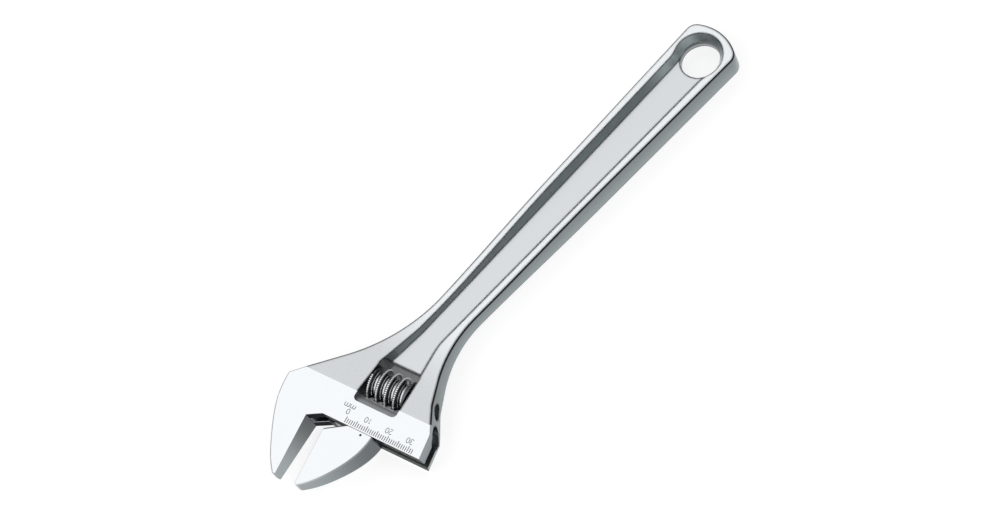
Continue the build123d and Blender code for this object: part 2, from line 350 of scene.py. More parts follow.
@dataclass(frozen=True)
class MetalFinish:
    """A plated or bare steel surface with a grain of its own, painted shade and light, painted dark edge
    lines and painted reflections, sizes in millimetres.
    """

    # alike in all metal finishes
    pit_size = 0.7
    pit_detail = 1.5
    pit_band = (0.58, 0.7)
    # painted dark lines along edges: the tone falls where the softly broken normal turns away from the
    # surface's own, standing in for dark reflections
    edge_shade_band = (0.965, 0.9985)
    edge_samples = 6
    # the upright faces, on which the sides' painted shading lies
    side_shade_band = (0.1, 0.6)
    grain_detail = 4.0
    grain_weight = 0.62
    grain_share = 0.6
    cloud_detail = 3.0
    tone_band = (0.34, 0.66)
    least_roughness = 0.02

    name: str
    tint: Triple
    roughness: float
    roughness_spread: float = 0.05
    tone_spread: float = 0.05
    grain: Triple = (0.3, 0.3, 0.3)
    grain_turn: float = 0.0
    grain_depth: float = 0.002
    cloud: float = 3.0
    edge_round: float = 0.12
    # tone of the painted dark lines along edges
    edge_shade_tone: float = 1.0
    # painted shading along the axes: over all faces, then over the upright sides only
    shade_steps: tuple[ShadeStep, ...] = ()
    side_shade_steps: tuple[ShadeStep, ...] = ()
    pits: float = 0.0
    grazing: float = 1.0
    # painted reflections: a tint for each slope, light where level and darker on sides and fillets
    slope_shading: tuple[SlopeShade, ...] = (SlopeShade(0.0, WHITE),)

    def shade_factor(self, sketch: MaterialSketch, shade_steps: Sequence[ShadeStep]) -> Any:
        """Work out the painted shading that changes from place to place.

        Args:
            sketch: The material's node tree.
            shade_steps: The soft steps of painted shading.

        Returns:
            The factor of painted shading on the tone.
        """
        places = sketch.add("ShaderNodeSeparateXYZ", {0: sketch.spot}).outputs
        factor: Any = 1.0
        for fade in shade_steps:
            span = (fade.start * MM, fade.end * MM)
            step = sketch.ease(places[fade.axis], span, (1.0, fade.factor))
            factor = sketch.math("MULTIPLY", factor, step)
        return factor

    def shading(self, sketch: MaterialSketch, broken: Socket) -> tuple[Socket, Socket]:
        """Work out the painted shading: shade and light by place, dark lines at edges and reflections by
        how level the surface lies, and the tone in shallow pits.

        Args:
            sketch: The material's node tree.
            broken: The surface's direction with softly broken edges.

        Returns:
            The colour that the tone is multiplied by, which holds the painted shading, and the roughness
            added by how level the surface lies.
        """
        noise = sketch.noise(sketch.spot, 1.0 / (MM * self.pit_size), self.pit_detail)
        pits = sketch.ease(noise, self.pit_band, (1.0, 1.0 - self.pits))
        normal = sketch.add("ShaderNodeNewGeometry").outputs["Normal"]
        # painted dark lines along edges, where the softly broken normal turns away from the surface's own
        likeness = sketch.add("ShaderNodeVectorMath", {0: normal, 1: broken}, operation="DOT_PRODUCT")
        edge_shade = sketch.ease(likeness.outputs["Value"], self.edge_shade_band, (self.edge_shade_tone, 1.0))
        # painted reflection: the tint follows how level the surface lies
        level = sketch.math("ABSOLUTE", sketch.add("ShaderNodeSeparateXYZ", {0: normal}).outputs[Axis.Z])
        tone = sketch.ramp(level, [(slope_shading.level, slope_shading.tint) for slope_shading in self.slope_shading])
        dull = sketch.ramp(level, [(slope_shading.level, (slope_shading.dull,) * 3) for slope_shading in self.slope_shading])
        # painted shading on the sides, only where the surface stands upright
        upright = sketch.ease(level, self.side_shade_band, (1.0, 0.0))
        side = sketch.math("SUBTRACT", self.shade_factor(sketch, self.side_shade_steps), 1.0)
        side = sketch.math("MULTIPLY_ADD", upright, side, 1.0)
        factor = sketch.math("MULTIPLY", self.shade_factor(sketch, self.shade_steps), side)
        factor = sketch.math("MULTIPLY", sketch.math("MULTIPLY", factor, pits), edge_shade)
        shade = sketch.result("ShaderNodeVectorMath", {0: tone, "Scale": factor}, operation="SCALE")
        return shade, dull

    def material(self) -> Material:
        """Make the material: tone, gloss and grain from noise, and softly broken edges.

        Returns:
            The material.
        """
        sketch = MaterialSketch(self.name)
        mapping = {
            "Vector": sketch.spot,
            "Rotation": (0.0, 0.0, -math.radians(self.grain_turn)),
            "Scale": tuple(1.0 / (MM * size) for size in self.grain),
        }
        turned = sketch.result("ShaderNodeMapping", mapping, vector_type="POINT")
        grain = sketch.noise(turned, 1.0, self.grain_detail, self.grain_weight)
        cloud = sketch.noise(sketch.spot, 1.0 / (MM * self.cloud), self.cloud_detail)
        rest = sketch.math("MULTIPLY", cloud, 1.0 - self.grain_share)
        blend = sketch.math("MULTIPLY_ADD", grain, self.grain_share, rest)
        tone = sketch.mottle(blend, self.tone_band, self.tint, self.tone_spread)
        smooth = max(self.least_roughness, self.roughness - self.roughness_spread)
        rough = self.roughness + self.roughness_spread
        gloss = sketch.ease(blend, self.tone_band, (smooth, rough), "LINEAR")
        broken = sketch.result("ShaderNodeBevel", {0: self.edge_round * MM}, samples=self.edge_samples)
        bump = {"Distance": self.grain_depth * MM, "Height": grain, "Normal": broken}
        relief = sketch.result("ShaderNodeBump", bump)
        shade, dull = self.shading(sketch, broken)
        color = sketch.result("ShaderNodeVectorMath", {0: tone, 1: shade}, operation="MULTIPLY")
        looks = {
            "Base Color": color,
            "Metallic": 1.0,
            "Roughness": sketch.math("ADD", gloss, dull),
            "Specular Tint": (self.grazing, self.grazing, self.grazing, 1.0),
            "Normal": relief,
        }
        return sketch.close(sketch.result("ShaderNodeBsdfPrincipled", looks))


@dataclass(frozen=True)
class MarkFinish:
    """The dark fill of an etched mark, sizes in millimetres."""

    # alike in all marks
    tone_spread = 0.3
    tone_band = (0.3, 0.7)
    grain = 0.35
    grain_detail = 3.0
    grain_depth = 0.004

    name: str
    tint: Triple
    roughness: float

    def material(self) -> Material:
        """Make the material: a dull dark fill that is a little uneven.

        Returns:
            The material.
        """
        sketch = MaterialSketch(self.name)
        noise = sketch.noise(sketch.spot, 1.0 / (MM * self.grain), self.grain_detail)
        tone = sketch.mottle(noise, self.tone_band, self.tint, self.tone_spread)
        relief = sketch.result("ShaderNodeBump", {"Distance": self.grain_depth * MM, "Height": noise})
        looks = {"Base Color": tone, "Roughness": self.roughness, "Normal": relief}
        return sketch.close(sketch.result("ShaderNodeBsdfPrincipled", looks))


class Finish(Enum):
    """The named finishes of the wrench."""

    POLISHED = MetalFinish(
        "polished_chrome", tint=(0.81, 0.835, 0.86), roughness=0.11, roughness_spread=0.03,
        tone_spread=0.012, grain=(0.25, 6.0, 0.25), grain_turn=HEAD_TURN, grain_depth=0.0004,
        cloud=14.0, edge_round=0.3,
        # painted reflections by slope: the level face light, the sides and fillets darker
        slope_shading=(
            SlopeShade(0.0, (0.25, 0.275, 0.28), 0.14),
            SlopeShade(0.1, (0.26, 0.285, 0.29), 0.16),
            SlopeShade(0.5, (0.53, 0.55, 0.56), 0.25),
            SlopeShade(0.94, WHITE),
        ),
    )
    # painted shade on the jaw's sides towards the head, and painted reflections by slope as on the head
    JAW = replace(
        POLISHED, name="polished_jaw", side_shade_steps=(ShadeStep(Axis.X, -234.0, -206.0, 0.44),),
        slope_shading=(
            SlopeShade(0.0, (0.35, 0.38, 0.386), 0.14),
            SlopeShade(0.1, (0.36, 0.39, 0.396), 0.16),
            SlopeShade(0.5, (0.56, 0.58, 0.59), 0.25),
            SlopeShade(0.94, WHITE),
        ),
    )
    SATIN = MetalFinish(
        "satin_chrome", tint=(0.593, 0.614, 0.627), roughness=0.24, roughness_spread=0.04,
        tone_spread=0.02, grain=(0.8, 0.8, 0.8), grain_depth=0.0015, cloud=4.0, edge_round=1.3,
        # painted near-black lines at the edges, painted lighter towards the hanging hole, the sides
        # painted darker towards the top, and painted reflections by slope with near-black fillets
        edge_shade_tone=0.05, pits=0.07,
        shade_steps=(ShadeStep(Axis.X, -178.0, -145.0, 1.29),),
        side_shade_steps=(ShadeStep(Axis.Z, -5.5, 5.5, 0.68),),
        slope_shading=(
            SlopeShade(0.0, (0.38, 0.416, 0.42)),
            SlopeShade(0.05, (0.38, 0.416, 0.42)),
            SlopeShade(0.16, (0.05, 0.055, 0.056)),
            SlopeShade(0.86, (0.04, 0.044, 0.045)),
            SlopeShade(0.985, WHITE),
        ),
    )
    WEB = MetalFinish(
        "blasted_web", tint=(0.655, 0.68, 0.695), roughness=0.34, tone_spread=0.03,
        # painted dark lines at the edges
        grain=(0.4, 0.4, 0.4), cloud=6.0, edge_round=1.4, edge_shade_tone=0.06,
    )
    WALL = MetalFinish(
        "recess_wall", tint=(0.34, 0.37, 0.376), roughness=0.32, grain=(1.2, 1.2, 1.2),
        # painted dark lines at the edges; painted light around the hanging hole and painted shade past
        # its far side
        grain_depth=0.0015, cloud=5.0, edge_round=0.9, edge_shade_tone=0.08,
        shade_steps=(ShadeStep(Axis.X, -24.0, -6.0, 1.75), ShadeStep(Axis.X, 3.0, 7.5, 0.42)),
    )
    # the window's front wall: a darker copy of the wall as painted shade
    FRONT = replace(WALL, name="window_front", tint=(0.19, 0.206, 0.21), shade_steps=())
    # the hole's wall: a near-black copy as painted shade, with a painted light band a little below its
    # middle and painted dark lines at the edges
    BORE_SHADE = replace(
        WALL, name="bored_wall", tint=(0.1, 0.11, 0.113), roughness=0.3, tone_spread=0.06,
        grain=(0.8, 0.8, 0.3), edge_round=0.6, edge_shade_tone=0.2,
        shade_steps=(ShadeStep(Axis.Z, -1.7, -1.0, 3.4), ShadeStep(Axis.Z, -0.4, 0.3, 0.3)),
    )
    GROUND = MetalFinish(
        "ground_face", tint=(0.34, 0.375, 0.38), roughness=0.22, tone_spread=0.06,
        grain=(0.12, 0.12, 5.0), grain_turn=HEAD_TURN, grain_depth=0.0012, cloud=8.0,
        # painted shade on the gripping face towards the throat
        shade_steps=(ShadeStep(Axis.X, -236.0, -213.0, 0.28),),
    )
    # the faces where the jaw slides and the relief in the throat: a near-black copy as painted shade,
    # with the grazing reflection weakened
    SLIDE = replace(
        GROUND, name="sliding_face", tint=(0.03, 0.033, 0.034), roughness=0.26, tone_spread=0.08,
        grain_depth=0.0015, shade_steps=(), grazing=0.45,
    )
    MACHINED = MetalFinish(
        "machined_steel", tint=(0.3, 0.315, 0.32), roughness=0.28, roughness_spread=0.06,
        tone_spread=0.07, grain=(0.15, 3.0, 0.15), grain_turn=HEAD_TURN, cloud=5.0,
    )
    RAIL = replace(
        MACHINED, name="rail_steel", tint=(0.24, 0.255, 0.26), roughness=0.38, tone_spread=0.08, cloud=4.0
    )
    # the rack's tooth tops: a lighter copy of the rail as painted light
    RACK_LIT = replace(
        RAIL, name="rack_tooth", tint=(0.62, 0.64, 0.65), roughness=0.4, grain=(0.15, 1.0, 0.15),
        cloud=3.0, edge_round=0.08,
    )
    # the rack's notches: a near-black copy as painted shade
    NOTCH_SHADE = replace(
        RACK_LIT, name="rack_notch", tint=(0.07, 0.074, 0.076), roughness=0.35, tone_spread=0.1,
        grain=(0.3, 0.3, 0.3), edge_round=0.04,
    )
    # strips in the worm's valleys: a near-white copy as a painted highlight
    VALLEY_HIGHLIGHT = replace(
        NOTCH_SHADE, name="worm_valley", tint=(0.93, 0.95, 0.96), roughness=0.26, grain=(4.0, 4.0, 4.0),
        grain_depth=0.0008,
    )
    # the rest of the worm: its dark steel, made darker still as painted shade beside the painted
    # highlight
    FLANK = replace(
        NOTCH_SHADE, name="worm_flank", tint=(0.14, 0.15, 0.154), roughness=0.25, tone_spread=0.12,
        grain=(2.0, 0.15, 2.0), grain_depth=0.0015,
    )
    KNURL = MetalFinish(
        "knurled_crest", tint=(0.95, 0.96, 0.97), roughness=0.45, tone_spread=0.04,
        grain=(0.4, 0.4, 0.4), grain_depth=0.001, cloud=4.0, edge_round=0.03,
    )
    PIN = MetalFinish(
        "pin_steel", tint=(0.32, 0.335, 0.34), roughness=0.3, roughness_spread=0.06, tone_spread=0.07
    )
    SPRING = replace(
        KNURL, name="spring_wire", tint=(0.42, 0.43, 0.44), roughness=0.24, tone_spread=0.06,
        grain=(0.2, 0.2, 0.2), cloud=2.0,
    )
    MARK = MarkFinish("etched_mark", tint=(0.04, 0.042, 0.046), roughness=0.55)
    DOT = MarkFinish("index_paint", tint=(0.012, 0.013, 0.015), roughness=0.4)

    def material(self) -> Material:
        """Return the finish's material, made on first use."""
        return bpy.data.materials.get(self.value.name) or self.value.material()


Rules = Sequence[tuple[np.ndarray, Finish]]
RuleMaker = Callable[[np.ndarray, np.ndarray], Rules]


class Piece:
    """One visible piece: a mesh that rides on a body."""

    def __init__(
        self, name: str, mesh: Mesh, body: Body, slot: Slot, finishes: Sequence[Finish],
        node: str | None = None,
    ) -> None:
        """Dress a mesh and put it in the scene.

        Args:
            name: The piece's name.
            mesh: Its mesh, already in its place.
            body: The body that carries it.
            slot: The record's slot, which is not used.
            finishes: Its finishes, in the order of the faces' material numbers.
            node: The CAD node that it stands for, if any.
        """
        mesh.name = name
        for finish in finishes:
            mesh.materials.append(finish.material())
        self.thing = add_object(name, mesh)
        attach(self.thing, body.value)
        if node:
            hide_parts(node)
        LOG.info("%s rides on %s with %d faces", name, body.value, len(mesh.polygons))


class CadPiece(Piece):
    """A piece made as a closed copy of a CAD node, with the smooth normals of the CAD surfaces."""

    merge_distance = 1e-6
    stray_normal = 0.9
    layer = "surface_normal"

    def __init__(
        self, name: str, node: Object, body: Body, slot: Slot, finishes: Sequence[Finish],
        rules: RuleMaker | None = None,
    ) -> None:
        """Copy a node's mesh, sort its faces by finish and put it in the scene.

        Args:
            name: The piece's name.
            node: The CAD node's object.
            body: The body that carries it.
            slot: The record's slot, handed on to Piece and not used there.
            finishes: Its finishes. The first is for the faces that meet no rule.
            rules: Takes the faces' centres and normals, and returns tests and their finishes.
        """
        mesh = self.closed_copy(node)
        if rules:
            faces = mesh.polygons
            centres = np.array([face.center for face in faces])
            normals = np.array([face.normal for face in faces])
            numbers = np.zeros(len(faces), dtype=np.int32)
            for test, finish in reversed(rules(centres, normals)):
                numbers[test] = finishes.index(finish)
            faces.foreach_set("material_index", numbers)
        super().__init__(name, mesh, body, slot, finishes, node.name)

    def closed_copy(self, node: Object) -> Mesh:
        """Copy a node's mesh and close it.

        Args:
            node: The CAD node's object.

        Returns:
            The copy, with no material.
        """
        corners = [corner.vector.copy() for corner in node.data.corner_normals]
        grown = bmesh.new()
        grown.from_mesh(node.data)
        keep = grown.loops.layers.float_vector.new(self.layer)
        for face in grown.faces:
            for loop in face.loops:
                loop[keep] = corners[loop.index]
        bmesh.ops.remove_doubles(grown, verts=grown.verts, dist=self.merge_distance)
        grown.normal_update()
        normals = [self.sound(loop[keep], face.normal) for face in grown.faces for loop in face.loops]
        grown.loops.layers.float_vector.remove(keep)
        mesh = finished_mesh(node.name, grown)
        mesh.materials.clear()
        mesh.shade_smooth()
        mesh.normals_split_custom_set(normals)
        return mesh

    def sound(self, normal: Vector, face_normal: Vector) -> Vector:
        """Return a corner's normal, or its face's where the corner's points astray."""
        return (normal if normal.dot(face_normal) > self.stray_normal else face_normal).copy()


@dataclass
class Forging:
    """The wrench body: handle, neck, head and fixed jaw. Its limits sort the faces by finish."""

    ridge_along: float = 14.25
    web_top: float = 2.4
    hole_reach: float = 8.35
    window_start: float = 10.3
    window_end: float = 48.0
    window_bottom: float = -40.0
    window_top: float = -10.0
    rail_bore: float = 4.7
    slot_half: float = 2.6
    slot_start: float = 0.2
    pin_bore: float = 3.2
    jaw_face_reach: float = -3.2
    relief_start: float = -3.4
    relief_end: float = 0.3
    throat_across: float = -9.0
    near: float = 0.2
    # limits on a direction's share along an axis
    upright: float = 0.1
    level: float = 0.93
    square: float = 0.98
    steep: float = 0.7
    front: float = 0.5
    slanting: float = 0.3
    finishes: tuple[Finish, ...] = (
        Finish.SATIN, Finish.POLISHED, Finish.WEB, Finish.FRONT, Finish.WALL,
        Finish.BORE_SHADE, Finish.GROUND, Finish.SLIDE, Finish.MACHINED,
    )

    def rules(self, centres: np.ndarray, normals: np.ndarray) -> Rules:
        """Sort the faces by their place and their direction.

        Args:
            centres: The faces' centres in metres.
            normals: The faces' normals.

        Returns:
            Tests and their finishes, of which the first that holds counts.
        """
        along, across, z = HEAD.coordinates(centres).T
        lean_along, lean_across, _ = HEAD.directions(normals).T
        x, y, _ = (centres / MM).T
        lean_x, lean_y, lean_z = normals.T
        flat = np.abs(lean_z)
        height = np.abs(z)
        below = across < self.throat_across

        # walls of the recess look towards the handle's middle line, or towards the hole's centre
        inward = np.maximum(x, 0.0) * lean_x + y * lean_y < 0.0
        hollow = (along > self.window_end) & inward & (flat < self.level)
        in_hole = (np.hypot(x, y) < self.hole_reach) & (flat < self.upright)

        # walls of the window look towards the worm
        in_window = (along > self.window_start) & (along <= self.window_end)
        in_window &= (across > self.window_bottom) & (across < self.window_top)
        middle = (self.window_bottom + self.window_top) / 2.0
        in_window &= (HEAD.worm_along - along) * lean_along + (middle - across) * lean_across > 0.0

        # bores, and the slot between the rail's bore and the sliding face
        rail_bore = np.hypot(along - HEAD.rail_along, z) < self.rail_bore
        rail_slot = (height < self.slot_half) & (along > self.slot_start) & (along < HEAD.rail_along)
        rail_way = below & (rail_bore | rail_slot) & (lean_across > -self.steep) & ~in_window
        pin_bore = below & (np.hypot(along - HEAD.worm_along, z) < self.pin_bore)
        pin_bore &= np.abs(lean_across) < self.steep

        # faces that meet a nut or the sliding jaw, and the relief between them
        gripping = (lean_across < -self.square) & (along < self.jaw_face_reach)
        gripping &= np.abs(across) < self.near
        sliding = (lean_along < -self.square) & (np.abs(along) < self.near)
        relief = (lean_along < -self.slanting) & (lean_across < -self.slanting) & ~below
        relief &= (along > self.relief_start) & (along < self.relief_end)
        return (
            (gripping, Finish.GROUND),
            # the faces in the throat take near-black painted shade
            (sliding | relief, Finish.SLIDE),
            (rail_way | pin_bore, Finish.MACHINED),
            ((flat >= self.level) & (height < self.web_top), Finish.WEB),
            # the hole's wall takes painted shade and a painted light band
            (in_hole, Finish.BORE_SHADE),
            # the window's front wall takes a darker copy as painted shade
            (in_window & (lean_along > self.front), Finish.FRONT),
            (hollow | in_window & (flat < self.level), Finish.WALL),
            (along <= self.ridge_along, Finish.POLISHED),
        )

    def build(self, nodes: dict[str, Object]) -> None:
        """Build the forging around its CAD node."""
        node = nodes["wrench_body"]
        CadPiece("wrench_forging", node, Body.WRENCH, Slot.BODY, self.finishes, self.rules)


@dataclass
class SlidingJaw:
    """The sliding jaw with its rail, and the painted index dot."""

    root: float = -0.2
    face: float = -9.65
    face_reach: float = -4.6
    near: float = 0.2
    square: float = 0.98
    tooth_end: float = 0.99
    tooth_along: float = 13.2
    rail_surface: float = 4.36
    dot_along: float = -1.4
    dot_across: float = -25.5
    dot_radius: float = 0.47
    dot_top: float = 6.64
    dot_depth: float = 0.12
    dot_dish: float = 0.04
    dot_rings: tuple[Pair, ...] = ((0.55, 0.7), (0.9, 0.2), (1.0, 0.0))
    dot_steps: int = 32
    finishes: tuple[Finish, ...] = (
        Finish.JAW, Finish.GROUND, Finish.RAIL, Finish.RACK_LIT, Finish.NOTCH_SHADE
    )
    dot_finishes: tuple[Finish, ...] = (Finish.DOT,)

    def rules(self, centres: np.ndarray, normals: np.ndarray) -> Rules:
        """Sort the faces by their place and their direction.

        Args:
            centres: The faces' centres in metres.
            normals: The faces' normals.

        Returns:
            Tests and their finishes, of which the first that holds counts.
        """
        along, across, z = HEAD.coordinates(centres).T
        _, lean_across, _ = HEAD.directions(normals).T
        gripping = (lean_across > self.square) & (along < self.face_reach)
        gripping &= np.abs(across - self.face) < self.near
        on_rack = along > self.tooth_along
        notch = on_rack & (np.hypot(along - HEAD.rail_along, z) < self.rail_surface)
        return (
            (gripping, Finish.GROUND),
            # notches take painted shade, tooth tops painted light
            (notch & (np.abs(lean_across) < self.tooth_end), Finish.NOTCH_SHADE),
            (on_rack, Finish.RACK_LIT),
            (along > self.root, Finish.RAIL),
        )

    def dot_mesh(self) -> Mesh:
        """Build the dished paint drop that fills the drilled dot.

        Returns:
            The mesh.
        """
        levels = [
            (share * self.dot_radius, self.dot_top - dip * self.dot_dish) for share, dip in self.dot_rings
        ]
        levels.append((self.dot_radius, self.dot_top - self.dot_depth))
        turns = [math.tau * step / self.dot_steps for step in range(self.dot_steps)]
        drop = bmesh.new()
        loops = [
            [drop.verts.new((radius * math.cos(turn), radius * math.sin(turn), height)) for turn in turns]
            for radius, height in levels
        ]
        centre = drop.verts.new((0.0, 0.0, self.dot_top - self.dot_dish))
        for step in range(self.dot_steps):
            after = (step + 1) % self.dot_steps
            drop.faces.new((centre, loops[0][step], loops[0][after]))
            for inner, outer in zip(loops, loops[1:]):
                drop.faces.new((inner[step], outer[step], outer[after], inner[after]))
        drop.faces.new(list(reversed(loops[-1])))
        mesh = finished_mesh("index_dot", drop)
        mesh.transform(HEAD.matrix() @ Matrix.Translation((self.dot_along, self.dot_across, 0.0)))
        return mesh

    def build(self, nodes: dict[str, Object]) -> None:
        """Build the jaw around its CAD node, and its index dot."""
        CadPiece("jaw_forging", nodes["sliding_jaw"], Body.JAW, Slot.JAW, self.finishes, self.rules)
        Piece("index_dot", self.dot_mesh(), Body.JAW, Slot.JAW, self.dot_finishes)


@dataclass
class Worm:
    """The worm: a screw with a helical ridge, and the knurl on the ridge's crest.

    The ridge's section is given as distances from the crest's middle, along the axis, and heights over
    the root. Its two flanks are alike, and a strip of painted highlight starts at each bright distance.
    """

    bottom: float = -34.1
    top: float = -16.565
    pitch: float = 4.2
    crest_at_face: float = -21.265
    outer_radius: float = 7.79
    crest_radius: float = 7.5
    root_radius: float = 5.14
    chamfer_radius: float = 7.25
    chamfer_slope: float = 1.0
    bore_radius: float = 2.06
    pocket_radius: float = 3.4
    pocket_depth: float = 4.0
    end_edge: float = 0.25
    flank: tuple[Pair, ...] = (
        (0.33, 2.36), (0.42, 2.3), (0.5, 2.18), (0.78, 0.98), (0.86, 0.87),
        (1.08, 0.74), (1.15, 0.62), (1.22, 0.3), (1.32, 0.12),
    )
    valley_below: tuple[Pair, ...] = ((-2.1, 0.0), (-2.02, 0.0), (-1.72, 0.02), (-1.42, 0.0))
    valley_above: tuple[Pair, ...] = ((1.48, 0.0), (1.72, 0.02), (1.95, 0.0))
    # distances at which a strip of painted highlight starts
    bright: tuple[float, ...] = (-2.02, -1.72, -1.08)
    columns: int = 180
    spare_ridges: int = 2
    merge_distance: float = 1e-4
    crisp_angle: float = 38.0
    teeth_per_turn: int = 56
    tooth_length: float = 0.72
    tooth_share: float = 0.66
    tooth_top: float = 0.6
    tooth_sink: float = 0.06
    knurl_start: float = -31.7
    knurl_end: float = -16.97
    helix_steps: int = 90
    finishes: tuple[Finish, ...] = (Finish.FLANK, Finish.VALLEY_HIGHLIGHT)
    knurl_finishes: tuple[Finish, ...] = (Finish.KNURL,)

    @cached_property
    def profile(self) -> list[Pair]:
        """Return the section of one ridge, from valley to valley."""
        mirrored = [(-offset, height) for offset, height in reversed(self.flank)]
        return [*self.valley_below, *mirrored, *self.flank, *self.valley_above]

    def crest(self, turn: float) -> float:
        """Return where the crest lies across the head, at a turn about the worm's axis."""
        # the marked face lies at minus a quarter turn
        return self.crest_at_face + self.pitch / 4.0 + self.pitch * turn / math.tau

    def radius(self, offset: float, across: float) -> float:
        """Return the screw's radius.

        Args:
            offset: The distance from a crest's middle, along the axis.
            across: The place across the head, for the chamfers at both ends.

        Returns:
            The radius in millimetres.
        """
        half = self.pitch / 2.0
        wrapped = (offset + half) % self.pitch - half
        places, heights = zip(*self.profile, (half, 0.0))
        ridge = self.root_radius + float(np.interp(wrapped, places, heights))
        from_end = min(across - self.bottom, self.top - across)
        return min(ridge, self.chamfer_radius + self.chamfer_slope * from_end)

    def ridges(self) -> int:
        """Return how many turns of the ridge a column spans, with room for both ends."""
        return int((self.top - self.bottom) / self.pitch) + 2 * self.spare_ridges + 1

    def column(self, turn: float) -> list[Pair]:
        """Return one column of the screw's surface, closed through the bore.

        Args:
            turn: The turn about the worm's axis.

        Returns:
            Pairs of a radius and a place across the head.
        """
        first = math.floor((self.bottom - self.crest(0.0)) / self.pitch) - self.spare_ridges
        crest = self.crest(turn) + first * self.pitch
        column = []
        for ridge in range(self.ridges()):
            for offset, _ in self.profile:
                spot = crest + ridge * self.pitch + offset
                spot = min(max(spot, self.bottom), self.top)
                column.append((self.radius(spot - crest, spot), spot))
        pocket_end = self.bottom + self.pocket_depth
        return column + [
            (self.bore_radius + self.end_edge, self.top),
            (self.bore_radius, self.top - self.end_edge),
            (self.bore_radius, pocket_end),
            (self.pocket_radius, pocket_end),
            (self.pocket_radius, self.bottom + self.end_edge),
            (self.pocket_radius + self.end_edge, self.bottom),
        ]

    def screw_mesh(self) -> Mesh:
        """Build the screw's closed surface.

        Returns:
            The mesh, with smooth flanks and crisp ends.
        """
        screw = bmesh.new()
        grid = []
        for step in range(self.columns):
            turn = math.tau * step / self.columns
            cosine, sine = math.cos(turn), math.sin(turn)
            rows = [(radius * cosine, radius * sine, spot) for radius, spot in self.column(turn)]
            grid.append([screw.verts.new(row) for row in rows])

        # the last column meets the first one a whole ridge further on
        span = len(self.profile)
        outside = self.ridges() * span
        grid.append([grid[0][min(row + span, outside - 1)] for row in range(outside)])
        grid[-1] += grid[0][outside:]
        # faces from each bright distance on take the painted highlight, the others the darker flank
        bright = [offset in self.bright for offset, _ in self.profile]
        count = len(grid[0])
        for column, beside in zip(grid, grid[1:]):
            for row in range(count):
                after = (row + 1) % count
                corners = dict.fromkeys((column[row], beside[row], beside[after], column[after]))
                if len(corners) > 2:
                    face = screw.faces.new(corners)
                    face.material_index = int(row < outside and bright[row % span])
        bmesh.ops.remove_doubles(screw, verts=screw.verts, dist=self.merge_distance)
        bmesh.ops.dissolve_degenerate(screw, edges=screw.edges, dist=self.merge_distance)
        bmesh.ops.recalc_face_normals(screw, faces=screw.faces)
        mesh = finished_mesh("worm_screw", screw)
        mesh.shade_smooth()
        mesh.set_sharp_from_angle(angle=math.radians(self.crisp_angle))
        mesh.transform(HEAD.worm_matrix(0.0))
        return mesh

    def knurl_mesh(self) -> Mesh:
        """Build the knurl: short teeth set along the helix of the crest.

        Returns:
            The mesh of all teeth.
        """
        height = self.knurl_end - self.knurl_start
        rotations = height / self.pitch
        spacing = math.tau * self.outer_radius / self.teeth_per_turn
        tree = GeometrySketch(
            "worm_knurl",
            {
                "Helix Radius": self.crest_radius - self.tooth_sink,
                "Helix Height": height,
                "Helix Turns": rotations,
                "Tooth Height": self.outer_radius - self.crest_radius + self.tooth_sink,
                "Tooth Width": spacing * self.tooth_share,
                "Tooth Length": self.tooth_length,
                "Teeth": int(rotations * self.teeth_per_turn),
            },
        )
        entry = tree.entry
        helix = tree.result(
            "GeometryNodeCurveSpiral",
            {
                "Resolution": self.helix_steps,
                "Rotations": entry["Helix Turns"],
                "Start Radius": entry["Helix Radius"],
                "End Radius": entry["Helix Radius"],
                "Height": entry["Helix Height"],
                "Reverse": True,
            },
        )
        count = {"Curve": helix, "Count": entry["Teeth"]}
        points = tree.add("GeometryNodeCurveToPoints", count, mode="COUNT")

        # a tooth is a blunt four-sided pyramid, whose foot is one unit wide before it is scaled
        foot = math.sqrt(0.5)
        blank = tree.result(
            "GeometryNodeMeshCone",
            {"Vertices": 4, "Radius Top": self.tooth_top, "Radius Bottom": foot, "Depth": 1.0},
        )
        turn = (0.0, 0.0, math.radians(45.0))
        square = tree.result("GeometryNodeTransform", {"Geometry": blank, "Rotation": turn})
        size = tree.vector(entry["Tooth Width"], entry["Tooth Length"], entry["Tooth Height"])
        tooth = tree.result("GeometryNodeTransform", {"Geometry": square, "Scale": size})

        # teeth stand out from the axis and follow the helix
        place = tree.result("GeometryNodeInputPosition")
        parts = tree.add("ShaderNodeSeparateXYZ", {0: place}).outputs
        outward = tree.vector(parts[0], parts[1])
        align = "FunctionNodeAlignRotationToVector"
        upright = tree.result(align, {"Vector": outward}, axis="Z", pivot_axis="AUTO")
        tangent = points.outputs["Tangent"]
        aligned = tree.result(align, {"Rotation": upright, "Vector": tangent}, axis="X", pivot_axis="Z")
        teeth = tree.result(
            "GeometryNodeInstanceOnPoints",
            {"Points": points.outputs[0], "Instance": tooth, "Rotation": aligned},
        )
        start_turn = math.tau * (self.knurl_start - self.crest(0.0)) / self.pitch
        spot = HEAD.worm_matrix(self.knurl_start) @ Matrix.Rotation(start_turn, 4, "Z")
        return tree.mesh(teeth, spot)

    def build(self) -> None:
        """Build the screw and its knurl."""
        Piece("worm_screw", self.screw_mesh(), Body.WORM, Slot.WORM, self.finishes, "worm")
        Piece("worm_knurl", self.knurl_mesh(), Body.WORM, Slot.WORM, self.knurl_finishes)


@dataclass
class WormMount:
    """The pin that carries the worm, and the spring that steadies it."""

    pin_finishes: tuple[Finish, ...] = (Finish.PIN,)
    spring_finishes: tuple[Finish, ...] = (Finish.SPRING,)

    def build(self, nodes: dict[str, Object]) -> None:
        """Build the pin and the spring around their CAD nodes."""
        pin, spring = nodes["worm_pin"], nodes["worm_spring"]
        CadPiece("slotted_pin", pin, Body.WRENCH, Slot.PIN, self.pin_finishes)
        CadPiece("steadying_spring", spring, Body.WRENCH, Slot.SPRING, self.spring_finishes)


